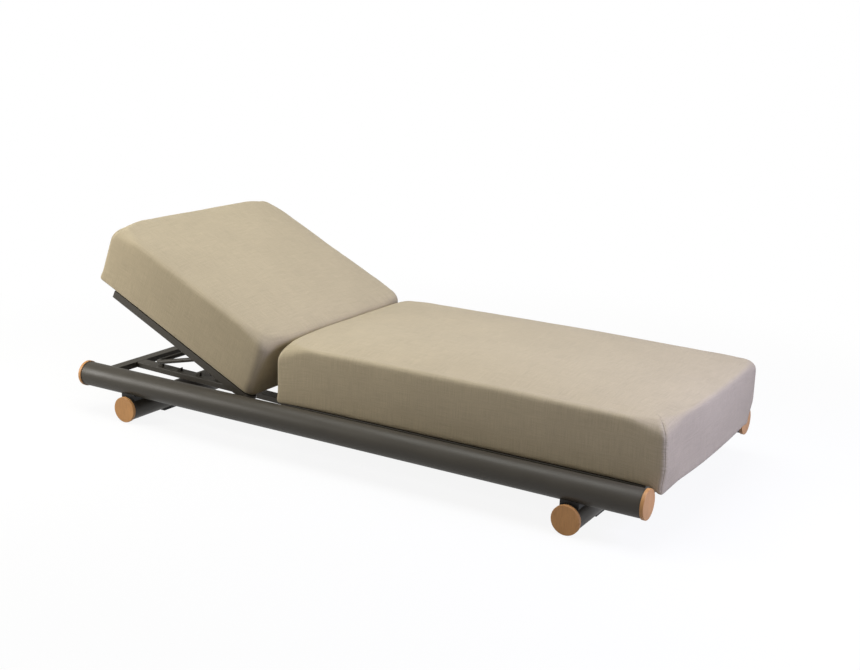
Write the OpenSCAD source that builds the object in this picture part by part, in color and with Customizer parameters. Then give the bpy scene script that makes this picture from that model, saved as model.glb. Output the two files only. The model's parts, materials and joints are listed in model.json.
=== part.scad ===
// Low relaxation lounger: two long round tubes lie across two short round tubes, a flat deck hangs
// between them, and a hinged backrest is held up by a stay that drops onto a toothed rack.
// X runs from head to foot, Y across, Z up from the floor. The origin is under the middle of the
// whole object, on the floor.

/* [Base frame] */
// Outside diameter of the side tubes
side_tube_d = 80; // [74:1:84]
// Outside diameter of the cross tubes
cross_tube_d = 80; // [74:1:90]
// Wall of all four round tubes
tube_wall = 3; // [2:0.5:4]
// Distance between the axes of the two side tubes
side_spacing = 825; // [815:1:860]
// Distance from a side tube's end to the axis of the cross tube under it
cross_inset = 199.5; // [175:0.5:245]
// How far a cross tube runs out past the side tube's axis, without its cap
cross_overrun = 37; // [30:1:60]
// How deep a cross tube is dished where a side tube lies on it
dish_depth = 1; // [0.5:0.1:1.5]

/* [End caps] */
// Thickness of the wooden end discs
cap_t = 10; // [8:0.5:14]
// How far a wooden disc stands out past its tube's surface
cap_rim = 2.5; // [1:0.1:3]
// Round on the outer edge of a wooden disc
cap_round = 1.5; // [0.5:0.1:3]
// Thickness of the plug's dark flange between tube and disc
plug_flange_t = 2; // [1:0.5:4]
// How deep a plug goes into its tube
plug_depth = 28; // [20:1:34]
// Length of the screw that holds a disc to its plug
cap_screw_len = 34; // [31:1:36]
// Diameter of that screw
cap_screw_d = 5; // [4:0.5:6]

/* [Tube joints and feet] */
// Side of the square saddle pad between two crossing tubes
saddle_w = 56; // [44:1:60]
// Diameter of the bolt that clamps two crossing tubes
clamp_bolt_d = 10; // [8:1:12]
// Height of a clamping bolt's head, and of its nut
clamp_head_h = 7; // [5:0.5:9]
// Thickness of a floor glide under the middle of a cross tube
glide_t = 4.5; // [4:0.1:8]
// Length of a floor glide across the lounger
glide_len = 60; // [50:1:90]
// Width of a floor glide
glide_w = 36; // [30:1:44]
// Distance between the two glides of one cross tube
glide_spacing = 520; // [420:5:600]
// Diameter of the screw that holds a floor glide
glide_screw_d = 5; // [4:0.5:6]

/* [Deck] */
// Height of the cross bars' top above the side tubes' axis
deck_rise = 5; // [2:0.5:8]
// Width of a cross bar
bar_w = 40; // [34:1:46]
// Height of a cross bar
bar_h = 20; // [18:1:26]
// Wall of all square section bars
bar_wall = 2; // [1.5:0.25:2.5]
// Distance from the backrest hinge to the middle of the head bar
head_bar_reach = 613; // [605:1:616]
// Distance from the end of the side tubes to the head bar
head_bar_inset = 2; // [0:1:6]
// Distance from the end of the side tubes to the foot bar
foot_bar_inset = 18; // [10:1:40]
// Width of a deck rail, of the seat and of the backrest
rail_w = 36; // [30:1:38]
// Height of a deck rail
rail_h = 25; // [24:0.5:28]
// Gap between the side tubes and the frames of seat and backrest
frame_gap = 4.5; // [4:0.5:10]
// Width of a deck slat
slat_w = 30; // [24:1:34]
// Thickness of a deck slat
slat_t = 8; // [5:0.5:9]

/* [Rack] */
// Width of a rack rail
rack_w = 44; // [36:1:46]
// Height of a rack rail
rack_h = 20; // [16:1:24]
// Distance between the middles of the two rack rails
rack_spacing = 420; // [400:1:421]
// How much lower a rack rail's foot end lies than its head end
rack_drop = 19.5; // [17:0.5:23]
// How far the first tooth's upright face stands past the stay rod's middle, towards the foot
tooth_lead = 1; // [-4:0.5:6]
// Distance from one tooth to the next
tooth_pitch = 84; // [80:1:86]
// Number of teeth on a rack rail
tooth_count = 4; // [3:1:4]
// Length of a tooth along its rail
tooth_len = 20; // [14:1:24]
// Height of a tooth
tooth_h = 11; // [8:0.5:11]
// Thickness of a tooth across its rail
tooth_t = 10; // [6:1:16]

/* [Backrest] */
// Distance from the seat cushion's head end to the backrest hinge
hinge_setback = 117; // [111:1:119]
// Angle of the backrest as it stands
rest_angle = 25; // [22:0.5:26]
// Length of a backrest rail from the hinge
back_rail_len = 614; // [606:1:624]
// Diameter of the hinge bolt
hinge_bolt_d = 10; // [8:0.5:12]
// Diameter of the hinge boss on a side tube
hinge_boss_d = 24; // [20:0.5:24]
// Distance from the hinge to the backrest's lifting bar
lift_bar_reach = 237; // [234:1:240]
// Height of the backrest's lifting bar
lift_bar_h = 18; // [16:1:20]
// Distance between slats in the backrest's head part
back_slat_pitch = 66; // [62:0.5:68]

/* [Stay] */
// Diameter of the stay's tube
stay_d = 15; // [13:0.5:15]
// Length of a stay arm between its pivot and the rod
stay_len = 270; // [266:1:272]
// How far the stay's pivot lies under the middle of the backrest rails
stay_pivot_drop = 36; // [34:0.5:37]
// Distance between the middles of the two stay arms
stay_spacing = 500; // [497:1:520]
// Height of the rod's middle over the rack rails as the backrest stands
stay_rod_lift = 22; // [21:0.5:23]
// Diameter of the pin that the stay turns on
stay_pin_d = 10; // [8:0.5:11]
// Outside diameter of the eye at the end of a stay arm
stay_eye_d = 22; // [19:0.5:24]
// Thickness of the lug that carries a stay pin
lug_t = 6; // [4:0.5:6]

/* [Cushions] */
// Width of both cushions
cushion_w = 744; // [720:2:748]
// Thickness of the seat cushion at its edges
seat_t = 198; // [180:1:204]
// Length of the seat cushion
seat_len = 1283; // [1230:1:1340]
// How far the seat cushion reaches past the foot caps
seat_overhang = 36; // [20:1:50]
// Rise of the seat cushion's crown over its edges
seat_crown = 5; // [2:0.5:12]
// Thickness of the backrest cushion at its edges
back_t = 212; // [190:1:216]
// Length of the backrest cushion
back_len = 704; // [694:1:740]
// How far the backrest cushion's lower end stands past the hinge, towards the foot
back_cushion_start = 17; // [10:0.5:18]
// Rise of the backrest cushion's crown over its edges
back_crown = 14; // [6:0.5:20]
// Round of a cushion's upper edges
top_round = 48; // [40:1:56]
// Round of a cushion's lower edges
bottom_round = 22; // [14:1:30]
// Round of a cushion's upright corners
corner_round = 48; // [40:1:60]
// How far a cushion's sides swell out at half height
side_swell = 3; // [0:0.5:5]

/* [Hidden] */
// Gap between two pieces of one welded frame
weld_gap = 0.1;
// Gap between a cushion and what it lies on
cushion_gap = 0.3;
// Gap under the backrest rails when the backrest lies flat on the head bar
flat_gap = 0.5;
// Radial clearances of pressed and of turning fits, and of bolts in plain holes
press_gap = 0.02;
run_gap = 0.05;
bolt_gap = 0.5;
// Side play between two pieces that turn against each other
side_play = 0.3;
// Bush wall between the hinge bolt and its rail
bush_wall = 2;
// Length that cuts run past a surface
overrun = 1;
// Heights and widths of the small fasteners' heads as shares of their diameters
head_h_share = 0.6;
head_d_share = 1.8;
// How deep a floor glide's screw head lies in the glide, and how deep its shank goes into the tube
glide_head_sink = 1;
glide_screw_reach = 4;
// How deep a glide reaches up the tube's flank
glide_h = 11;
// Solid length of a backrest rail at its hinge end and depth of a rail's end plug
hinge_end_len = 30;
rail_plug_depth = 16;
// Distance from the hinge to the first cross rail of the backrest
foot_rail_start = 22;
// Places of the two slats between that rail and the lifting bar, as shares of the way
low_slat_shares = [0.34, 0.67];
// Upright flat at the tip of a tooth
tooth_tip = 3;
// Distance from the head bar to the brace between the rack rails
brace_start = 246;
// Height of a saddle pad before the two tubes are cut out of it
pad_h = 20;
// Number of slats in the seat frame
seat_slats = 8;
// Smoothness of round pieces and of cushions
$fn = 64;
corner_steps = 6;
long_steps = 10;
short_steps = 6;
bottom_steps = 3;
side_steps = 4;
top_steps = 5;
crown_steps = 5;

// Derived sizes. Places along X are measured from the middle of the side tubes, and heights from
// their axis, unless a name says otherwise.
side_r = side_tube_d / 2;
cross_r = cross_tube_d / 2;
side_y = side_spacing / 2;
head_part = hinge_setback + head_bar_reach + bar_w / 2 + head_bar_inset;
foot_part = seat_len + side_swell - seat_overhang - cap_t - plug_flange_t;
side_tube_len = head_part + foot_part;
tube_end = side_tube_len / 2;
cap_reach = tube_end + plug_flange_t + cap_t;
seat_foot = cap_reach + seat_overhang - side_swell;
seat_head = seat_foot - seat_len;
cross_x = tube_end - cross_inset;
cross_z = dish_depth - side_r - cross_r;
cross_tube_len = side_spacing + 2 * cross_overrun;
// Width of the spot where a side tube bears straight on a cross tube
dish_w = 2 * sqrt((side_tube_d + cross_tube_d) * (dish_depth + weld_gap)) + 4 * bolt_gap;
seat_mid = (seat_foot + seat_head) / 2;
axis_height = glide_t + cross_r - cross_z;
mid_x = -seat_overhang / 2;

deck_top = deck_rise + rail_h;
hinge_x = seat_head - hinge_setback;
head_bar_x = hinge_x - head_bar_reach;
head_bar_foot = head_bar_x + bar_w / 2;
foot_bar_x = tube_end - foot_bar_inset - bar_w / 2;
mid_bar_x = seat_head + bar_w;
seat_bay = (foot_bar_x - mid_bar_x) / 3;
seat_rail_start = mid_bar_x - bar_w / 2;
seat_rail_end = foot_bar_x + bar_w / 2;
frame_w = side_spacing - side_tube_d - 2 * frame_gap;
rail_y = frame_w / 2 - rail_w / 2;
rail_inner_y = frame_w / 2 - rail_w;

rack_start = head_bar_foot;
rack_end = mid_bar_x - bar_w / 2;
rack_y = rack_spacing / 2;
rack_inner_y = rack_y - rack_w / 2;
rack_slope = rack_drop / (rack_end - rack_start);
mid_bar_h = bar_h + rack_drop;
function rack_top(x) = deck_rise - rack_slope * (x - rack_start);

hinge_z = deck_rise + flat_gap + rail_h / 2;
back_slat_z = rail_h / 2 - slat_t / 2;
foot_rail_s = foot_rail_start + slat_w / 2;
stay_y = stay_spacing / 2;
lug_y = stay_y - stay_d / 2 - side_play - lug_t / 2;
pivot_x = hinge_x - lift_bar_reach * cos(rest_angle) - stay_pivot_drop * sin(rest_angle);
pivot_z = hinge_z + lift_bar_reach * sin(rest_angle) - stay_pivot_drop * cos(rest_angle);
rack_angle = atan(rack_slope);
pivot_over_rod = (pivot_z - rack_top(pivot_x) - stay_rod_lift) * cos(rack_angle);
stay_slope = asin(pivot_over_rod / stay_len) - rack_angle;
rod_x = pivot_x - stay_len * cos(stay_slope);
bush_d = hinge_bolt_d + 2 * (run_gap + bush_wall);

// Colours of the finishes
metal_colour = [0.35, 0.33, 0.29];
wood_colour = [0.74, 0.53, 0.34];
fabric_colour = [0.78, 0.72, 0.62];
plastic_colour = [0.09, 0.09, 0.09];
steel_colour = [0.62, 0.62, 0.64];

// Places what is drawn about the middle of the side tubes' axes onto the floor frame
module on_axes() {
  translate([mid_x, 0, axis_height]) children();
}

// Places what is drawn about the hinge with the backrest flat, its head end towards -X
module on_back() {
  on_axes() translate([hinge_x, 0, hinge_z]) rotate([0, rest_angle, 0]) children();
}

// Draws what is drawn on the near side, at negative Y, on the near side (-1) or the far side (1)
module on_side(side) {
  if (side > 0) mirror([0, 1, 0]) children();
  else children();
}

module on_both_sides() {
  for (side = [-1, 1]) on_side(side) children();
}

// A round bar along Y from y0 to y1
module rod_y(d, y0, y1) {
  translate([0, y0, 0]) rotate([-90, 0, 0]) cylinder(d = d, h = y1 - y0);
}

// A round bar along X, centred
module rod_x(d, len) {
  rotate([0, 90, 0]) cylinder(d = d, h = len, center = true);
}

// A square section tube along X (axis 0) or Y (axis 1), centred, open at its ends
module box_tube(size, axis) {
  bore = [for (i = [0 : 2]) i == axis ? size[i] + 2 * overrun : size[i] - 2 * bar_wall];
  difference() {
    cube(size, center = true);
    cube(bore, center = true);
  }
}

// Both side tubes as cutters, grown by the weld gap
module side_tube_cutters() {
  for (side = [-1, 1]) translate([0, side * side_y, 0])
    rod_x(side_tube_d + 2 * weld_gap, side_tube_len + 2 * overrun);
}

// Drills the clamping bolts' holes where the tubes cross
module clamp_holes(d) {
  for (x = [-cross_x, cross_x], y = [-side_y, side_y]) translate([x, y, cross_z])
    cylinder(d = d, h = -cross_z);
}

module side_tube(side) {
  color(metal_colour) on_axes() difference() {
    translate([0, side * side_y, 0]) rod_x(side_tube_d, side_tube_len);
    translate([0, side * side_y, 0])
      rod_x(side_tube_d - 2 * tube_wall, side_tube_len + 2 * overrun);
    clamp_holes(clamp_bolt_d + 2 * bolt_gap);
  }
}

module cross_tube(x) {
  access_d = clamp_bolt_d * head_d_share + 4 * bolt_gap;
  color(metal_colour) on_axes() difference() {
    translate([x, 0, cross_z]) rod_y(cross_tube_d, -cross_tube_len / 2, cross_tube_len / 2);
    translate([x, 0, cross_z]) rod_y(cross_tube_d - 2 * tube_wall,
      -cross_tube_len / 2 - overrun, cross_tube_len / 2 + overrun);
    side_tube_cutters();
    clamp_holes(clamp_bolt_d + 2 * bolt_gap);
    for (y = [-side_y, side_y]) translate([x, y, cross_z - cross_r - overrun])
      cylinder(d = access_d, h = cross_r);
    for (y = [-1, 1]) translate([x, y * glide_spacing / 2, cross_z - cross_r - overrun])
      cylinder(d = glide_screw_d + 2 * press_gap, h = cross_r);
  }
}

// A wooden disc that lies on the plane z = 0 and faces up, with its screw's blind hole
module cap_disc(tube_d) {
  r = tube_d / 2 + cap_rim;
  difference() {
    rotate_extrude() {
      square([r - cap_round, cap_t]);
      square([r, cap_t - cap_round]);
      translate([r - cap_round, cap_t - cap_round]) intersection() {
        circle(cap_round);
        square(cap_round);
      }
    }
    translate([0, 0, -overrun])
      cylinder(d = cap_screw_d + 2 * press_gap,
        h = cap_screw_len - plug_depth - plug_flange_t + overrun);
  }
}

// Turns what faces up to face out of a side tube's end, with z = 0 on the plug's flange
module at_side_end(end, side) {
  translate([end * (tube_end + plug_flange_t), side * side_y, 0]) rotate([0, end * 90, 0])
    children();
}

// The same for a cross tube's end
module at_cross_end(end, side) {
  translate([end * cross_x, side * (cross_tube_len / 2 + plug_flange_t), cross_z])
    rotate([-side * 90, 0, 0]) children();
}

module side_cap(end, side) {
  color(wood_colour) on_axes() at_side_end(end, side) cap_disc(side_tube_d);
}

module cross_cap(end, side) {
  color(wood_colour) on_axes() at_cross_end(end, side) cap_disc(cross_tube_d);
}

// A tube plug whose flange's outer face is z = 0
module plug(tube_d) {
  difference() {
    union() {
      translate([0, 0, -plug_flange_t]) cylinder(d = tube_d, h = plug_flange_t);
      translate([0, 0, -plug_flange_t - plug_depth])
        cylinder(d = tube_d - 2 * (tube_wall + press_gap), h = plug_depth);
    }
    translate([0, 0, -plug_flange_t - plug_depth - overrun])
      cylinder(d = cap_screw_d + 2 * press_gap, h = plug_flange_t + plug_depth + 2 * overrun);
  }
}

module cap_plugs() {
  color(plastic_colour) on_axes() for (end = [-1, 1], side = [-1, 1]) {
    at_side_end(end, side) plug(side_tube_d);
    at_cross_end(end, side) plug(cross_tube_d);
  }
}

// A pan head screw that points up, with its head's seat at z = 0
module pan_screw(d, len) {
  translate([0, 0, -d * head_h_share]) cylinder(d = d * head_d_share, h = d * head_h_share);
  cylinder(d = d, h = len);
}

module cap_screws() {
  color(steel_colour) on_axes() for (end = [-1, 1], side = [-1, 1]) {
    at_side_end(end, side) translate([0, 0, -plug_flange_t - plug_depth])
      pan_screw(cap_screw_d, cap_screw_len);
    at_cross_end(end, side) translate([0, 0, -plug_flange_t - plug_depth])
      pan_screw(cap_screw_d, cap_screw_len);
  }
}

module saddle_pads() {
  color(plastic_colour) on_axes() for (x = [-cross_x, cross_x], y = [-side_y, side_y])
    difference() {
      translate([x, y, -side_r]) cube([saddle_w, saddle_w, pad_h], center = true);
      side_tube_cutters();
      translate([x, 0, cross_z]) rod_y(cross_tube_d + 2 * weld_gap,
        -cross_tube_len / 2, cross_tube_len / 2);
      clamp_holes(clamp_bolt_d + 2 * bolt_gap);
      translate([x, y, -side_r]) cylinder(d = dish_w, h = pad_h + overrun, center = true);
    }
}

// Height on the inside of a tube of radius r at which a flat head of diameter d seats
function inner_seat(r, d) = sqrt(pow(r - tube_wall, 2) - pow(d / 2, 2)) - press_gap;

module clamp_bolts() {
  head_d = clamp_bolt_d * head_d_share;
  seat = cross_z + inner_seat(cross_r, head_d);
  tip = clamp_head_h - inner_seat(side_r, head_d);
  color(steel_colour) on_axes() for (x = [-cross_x, cross_x], y = [-side_y, side_y]) {
    translate([x, y, seat - clamp_head_h]) cylinder(d = head_d, h = clamp_head_h);
    translate([x, y, seat - press_gap]) cylinder(d = clamp_bolt_d, h = tip - seat + press_gap);
  }
}

module clamp_nuts() {
  head_d = clamp_bolt_d * head_d_share;
  color(steel_colour) on_axes() for (x = [-cross_x, cross_x], y = [-side_y, side_y])
    translate([x, y, -inner_seat(side_r, head_d)]) difference() {
      cylinder(d = head_d, h = clamp_head_h, $fn = 6);
      translate([0, 0, -overrun])
        cylinder(d = clamp_bolt_d + 2 * press_gap, h = clamp_head_h + 2 * overrun);
    }
}

module at_glides() {
  for (x = [-cross_x, cross_x], y = [-glide_spacing / 2, glide_spacing / 2])
    translate([x, y, -axis_height]) children();
}

module floor_glides() {
  head_d = glide_screw_d * head_d_share;
  head_h = glide_screw_d * head_h_share;
  color(plastic_colour) on_axes() at_glides() difference() {
    translate([-glide_w / 2, -glide_len / 2, 0]) cube([glide_w, glide_len, glide_h]);
    translate([0, 0, glide_t + cross_r])
      rod_y(cross_tube_d + 2 * weld_gap, -glide_len, glide_len);
    translate([0, 0, -overrun])
      cylinder(d = glide_screw_d + 2 * press_gap, h = glide_h + overrun);
    translate([0, 0, -overrun])
      cylinder(d = head_d + 2 * press_gap, h = glide_head_sink + head_h + overrun);
  }
}

module glide_screws() {
  head_h = glide_screw_d * head_h_share;
  color(steel_colour) on_axes() at_glides() translate([0, 0, glide_head_sink + head_h])
    pan_screw(glide_screw_d, glide_t + glide_screw_reach - glide_head_sink - head_h);
}

// A bar across the frame, coped to the side tubes, with its top at deck_rise
module cross_bar(x, h) {
  color(metal_colour) on_axes() difference() {
    translate([x, 0, deck_rise - h / 2]) box_tube([bar_w, side_spacing, h], 1);
    side_tube_cutters();
  }
}

// The side outline of a rack rail, drawn in XZ and shrunk by a wall
module rack_outline(wall) {
  polygon([
    [rack_start, rack_top(rack_start) - wall],
    [rack_end, rack_top(rack_end) - wall],
    [rack_end, rack_top(rack_end) - rack_h + wall],
    [rack_start, rack_top(rack_start) - rack_h + wall]]);
}

// Extrudes an outline that is drawn in XZ along Y, centred on y
module across(y, w) {
  translate([0, y + w / 2, 0]) rotate([90, 0, 0]) linear_extrude(w) children();
}

module rack_rail(side) {
  color(metal_colour) on_axes() difference() {
    across(side * rack_y, rack_w) rack_outline(0);
    across(side * rack_y, rack_w - 2 * bar_wall) rack_outline(bar_wall);
  }
}

module rack_teeth(side) {
  color(metal_colour) on_axes() across(side * rack_y, tooth_t) for (i = [0 : tooth_count - 1]) {
    face = rod_x + tooth_lead + i * tooth_pitch;
    polygon([
      [face - tooth_len, rack_top(face - tooth_len)],
      [face, rack_top(face)],
      [face, rack_top(face) + tooth_h],
      [face - tooth_tip, rack_top(face) + tooth_h]]);
  }
}

module rack_brace() {
  x0 = rack_start + brace_start;
  x1 = x0 + bar_w;
  color(metal_colour) on_axes() difference() {
    across(0, 2 * rack_inner_y) polygon([
      [x0, rack_top(x0)], [x1, rack_top(x1)],
      [x1, rack_top(x1) - rack_h], [x0, rack_top(x0) - rack_h]]);
    across(0, 2 * (rack_inner_y + overrun)) polygon([
      [x0 + bar_wall, rack_top(x0) - bar_wall], [x1 - bar_wall, rack_top(x1) - bar_wall],
      [x1 - bar_wall, rack_top(x1) - rack_h + bar_wall],
      [x0 + bar_wall, rack_top(x0) - rack_h + bar_wall]]);
  }
}

module hinge_bosses() {
  color(metal_colour) on_axes() on_both_sides() difference() {
    translate([hinge_x, 0, hinge_z]) rod_y(hinge_boss_d, -side_y, -frame_w / 2 - side_play);
    side_tube_cutters();
    translate([hinge_x, 0, hinge_z])
      rod_y(hinge_bolt_d + 2 * press_gap, -side_y - overrun, -frame_w / 2);
  }
}

module hinge_bolts() {
  head_h = hinge_bolt_d * head_h_share;
  inner = -rail_inner_y + side_play;
  tube_face = side_y - sqrt(pow(side_r, 2) - pow(hinge_z - hinge_bolt_d / 2, 2));
  color(steel_colour) on_axes() on_both_sides() translate([hinge_x, 0, hinge_z]) {
    rod_y(hinge_bolt_d * head_d_share, inner, inner + head_h);
    rod_y(hinge_bolt_d, -tube_face + weld_gap, inner + overrun);
  }
}

module seat_rail(side) {
  color(metal_colour) on_axes()
    translate([(seat_rail_start + seat_rail_end) / 2, side * rail_y, deck_rise + rail_h / 2])
      box_tube([seat_rail_end - seat_rail_start, rail_w, rail_h], 0);
}

module seat_slat(i) {
  span = seat_rail_end - seat_rail_start - slat_w;
  x = seat_rail_start + slat_w / 2 + span * (i - 1) / (seat_slats - 1);
  color(metal_colour) on_axes() translate([x, 0, deck_top - slat_t / 2])
    cube([slat_w, 2 * rail_inner_y, slat_t], center = true);
}

// A backrest rail with a round hinge end, a bore for its bush and an open head end
module back_rail(side) {
  color(metal_colour) on_back() on_side(side) difference() {
    union() {
      rod_y(rail_h, -frame_w / 2, -rail_inner_y);
      translate([-back_rail_len, -frame_w / 2, -rail_h / 2])
        cube([back_rail_len, rail_w, rail_h]);
    }
    translate([-back_rail_len - overrun, -frame_w / 2 + bar_wall, -rail_h / 2 + bar_wall])
      cube([back_rail_len - hinge_end_len + overrun, rail_w - 2 * bar_wall,
        rail_h - 2 * bar_wall]);
    rod_y(bush_d + 2 * press_gap, -frame_w / 2 - overrun, -rail_inner_y + overrun);
  }
}

module back_rail_plugs() {
  depth = rail_plug_depth;
  color(plastic_colour) on_back() for (side = [-1, 1])
    translate([-back_rail_len + depth / 2, side * rail_y, 0])
      cube([depth, rail_w - 2 * bar_wall, rail_h - 2 * bar_wall], center = true);
}

module hinge_bushes() {
  color(plastic_colour) on_back() on_both_sides() difference() {
    rod_y(bush_d, -frame_w / 2, -rail_inner_y);
    rod_y(hinge_bolt_d + 2 * run_gap, -frame_w / 2 - overrun, -rail_inner_y + overrun);
  }
}

// A rail across the backrest frame at distance s from the hinge, its top flush with the rails
module back_cross_rail(s, h) {
  color(metal_colour) on_back() translate([-s, 0, (rail_h - h) / 2])
    box_tube([slat_w, 2 * rail_inner_y, h], 1);
}

// Slats are counted from the hinge, and the lifting bar lies between the second and the third
module back_slat(i) {
  low_s = foot_rail_s + (lift_bar_reach - foot_rail_s) * low_slat_shares[min(i, 2) - 1];
  s = i <= 2 ? low_s : lift_bar_reach + (i - 2) * back_slat_pitch;
  color(metal_colour) on_back() translate([-s, 0, back_slat_z])
    cube([slat_w, 2 * rail_inner_y, slat_t], center = true);
}

module stay_lugs() {
  bar_z = rail_h / 2 - lift_bar_h;
  color(metal_colour) on_back() on_both_sides() difference() {
    translate([-lift_bar_reach, -lug_y, 0]) {
      translate([0, 0, -stay_pivot_drop]) rod_y(stay_eye_d, -lug_t / 2, lug_t / 2);
      translate([-stay_eye_d / 2, -lug_t / 2, -stay_pivot_drop])
        cube([stay_eye_d, lug_t, stay_pivot_drop + bar_z]);
    }
    translate([-lift_bar_reach, -lug_y, -stay_pivot_drop])
      rod_y(stay_pin_d + 2 * press_gap, -lug_t, lug_t);
  }
}

module stay_pins() {
  head_h = stay_pin_d * head_h_share;
  head_d = stay_pin_d + (stay_eye_d - stay_pin_d) / 2;
  outer = -stay_y - stay_d / 2 - side_play;
  color(steel_colour) on_back() on_both_sides()
    translate([-lift_bar_reach, 0, -stay_pivot_drop]) {
      rod_y(head_d, outer - head_h, outer);
      rod_y(stay_pin_d, outer - overrun, -lug_y + lug_t / 2);
    }
}

// Places what is drawn with the stay's pivot at the origin and its rod towards -X
module on_stay() {
  on_axes() translate([pivot_x, 0, pivot_z]) rotate([0, -stay_slope, 0]) children();
}

module stay_arm(side) {
  color(metal_colour) on_stay() translate([0, side * stay_y, 0]) difference() {
    union() {
      rod_y(stay_eye_d, -stay_d / 2, stay_d / 2);
      translate([-stay_len / 2, 0, 0]) rod_x(stay_d, stay_len);
    }
    rod_y(stay_pin_d + 2 * run_gap, -stay_d, stay_d);
    translate([-stay_len, 0, 0]) rod_y(stay_d + 2 * weld_gap, -stay_d, stay_d);
  }
}

module stay_rod() {
  color(metal_colour) on_stay() translate([-stay_len, 0, 0]) {
    rod_y(stay_d, -stay_y, stay_y);
    for (y = [-stay_y, stay_y]) translate([0, y, 0]) sphere(d = stay_d);
  }
}

// Outline of a cushion at one level, half sizes hx and hy, corner radius r, swelling out by swell
// in the middle of each side. It runs once round from the corner at +X +Y.
function side_run(a, b, steps) = [for (i = [1 : steps - 1]) a + (b - a) * i / steps];
function corner_run(cx, cy, r, from) = [for (i = [0 : corner_steps])
  let (a = from + 90 * i / corner_steps) [cx + r * cos(a), cy + r * sin(a)]];
function plain_ring(hx, hy, r) = let (x = hx - r, y = hy - r) concat(
  corner_run(x, y, r, 0), side_run([x, hy], [-x, hy], long_steps),
  corner_run(-x, y, r, 90), side_run([-hx, y], [-hx, -y], short_steps),
  corner_run(-x, -y, r, 180), side_run([-x, -hy], [x, -hy], long_steps),
  corner_run(x, -y, r, 270), side_run([hx, -y], [hx, y], short_steps));
function swell_ring(ring, hx, hy, swell) = [for (p = ring)
  [p[0] * (1 + swell * (1 - pow(p[1] / hy, 2)) / hx),
   p[1] * (1 + swell * (1 - pow(p[0] / hx, 2)) / hy)]];
function bow(share) = 4 * share * (1 - share);

// The levels of a cushion of thickness t and half width hy, each as height, inset and swell:
// up round the lower edge, up the side, round the upper edge and in over the crown
function cushion_levels(t, hy, crown) = concat(
  [for (i = [0 : bottom_steps]) let (a = 90 * i / bottom_steps)
    [bottom_round * (1 - cos(a)), bottom_round * (1 - sin(a)), 0]],
  [for (i = [1 : side_steps - 1]) let (share = i / side_steps)
    [bottom_round + (t - bottom_round - top_round) * share, 0, side_swell * bow(share)]],
  [for (i = [0 : top_steps]) let (a = 90 * i / top_steps)
    [t - top_round * (1 - sin(a)), top_round * (1 - cos(a)), 0]],
  [for (i = [1 : crown_steps - 1]) let (share = i / crown_steps)
    [t + crown * (1 - pow(1 - share, 2)), top_round + (hy - top_round) * share, 0]]);

// A cushion centred on the origin with its flat underside on z = 0
module cushion(len, width, t, crown) {
  hx = len / 2 - side_swell / 2;
  hy = width / 2;
  levels = cushion_levels(t, hy, crown);
  corner_min = corner_round - top_round * cos(90 / top_steps);
  rings = [for (l = levels)
    let (r = max(corner_round - l[1], corner_min), x = hx - l[1], y = hy - l[1])
    [for (p = swell_ring(plain_ring(x, y, r), x, y, l[2] + side_swell / 2)) [p[0], p[1], l[0]]]];
  n = len(rings[0]);
  last = len(rings) - 1;
  points = concat([for (ring = rings) each ring], [[0, 0, 0], [0, 0, t + crown]]);
  bottom = n * (last + 1);
  faces = concat(
    [for (i = [0 : n - 1]) [bottom, i, (i + 1) % n]],
    [for (k = [0 : last - 1], i = [0 : n - 1]) let (a = k * n + i, b = k * n + (i + 1) % n)
      each [[a, a + n, b], [b, a + n, b + n]]],
    [for (i = [0 : n - 1]) [bottom + 1, last * n + (i + 1) % n, last * n + i]]);
  polyhedron(points, faces);
}

module seat_cushion() {
  color(fabric_colour) on_axes() translate([seat_mid, 0, deck_top + cushion_gap])
    cushion(seat_len, cushion_w, seat_t, seat_crown);
}

module back_cushion() {
  color(fabric_colour) on_back()
    translate([back_cushion_start - back_len / 2, 0, rail_h / 2 + cushion_gap])
      cushion(back_len, cushion_w, back_t, back_crown);
}

side_tube(-1);  // side_tube_near
side_tube(1);  // side_tube_far
cross_tube(-cross_x);  // cross_tube_head
cross_tube(cross_x);  // cross_tube_foot
side_cap(-1, -1);  // cap_head_near
side_cap(-1, 1);  // cap_head_far
side_cap(1, -1);  // cap_foot_near
side_cap(1, 1);  // cap_foot_far
cross_cap(-1, -1);  // cross_cap_head_near
cross_cap(-1, 1);  // cross_cap_head_far
cross_cap(1, -1);  // cross_cap_foot_near
cross_cap(1, 1);  // cross_cap_foot_far
cap_plugs();
cap_screws();
saddle_pads();
clamp_bolts();
clamp_nuts();
floor_glides();
glide_screws();
cross_bar(head_bar_x, bar_h);  // head_bar
cross_bar(mid_bar_x, mid_bar_h);  // mid_bar
cross_bar(mid_bar_x + seat_bay, bar_h);  // seat_bar_head
cross_bar(mid_bar_x + 2 * seat_bay, bar_h);  // seat_bar_foot
cross_bar(foot_bar_x, bar_h);  // foot_bar
rack_rail(-1);  // rack_rail_near
rack_rail(1);  // rack_rail_far
rack_teeth(-1);  // rack_teeth_near
rack_teeth(1);  // rack_teeth_far
rack_brace();
hinge_bosses();
hinge_bolts();
seat_rail(-1);  // seat_rail_near
seat_rail(1);  // seat_rail_far
seat_slat(1);  // seat_slat_1
seat_slat(2);  // seat_slat_2
seat_slat(3);  // seat_slat_3
seat_slat(4);  // seat_slat_4
seat_slat(5);  // seat_slat_5
seat_slat(6);  // seat_slat_6
seat_slat(7);  // seat_slat_7
seat_slat(8);  // seat_slat_8
seat_cushion();
back_rail(-1);  // back_rail_near
back_rail(1);  // back_rail_far
back_cross_rail(foot_rail_s, rail_h);  // back_foot_rail
back_cross_rail(lift_bar_reach, lift_bar_h);  // back_lift_bar
back_cross_rail(back_rail_len - slat_w / 2, rail_h);  // back_head_rail
back_slat(1);  // back_slat_1
back_slat(2);  // back_slat_2
back_slat(3);  // back_slat_3
back_slat(4);  // back_slat_4
back_slat(5);  // back_slat_5
back_rail_plugs();
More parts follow.
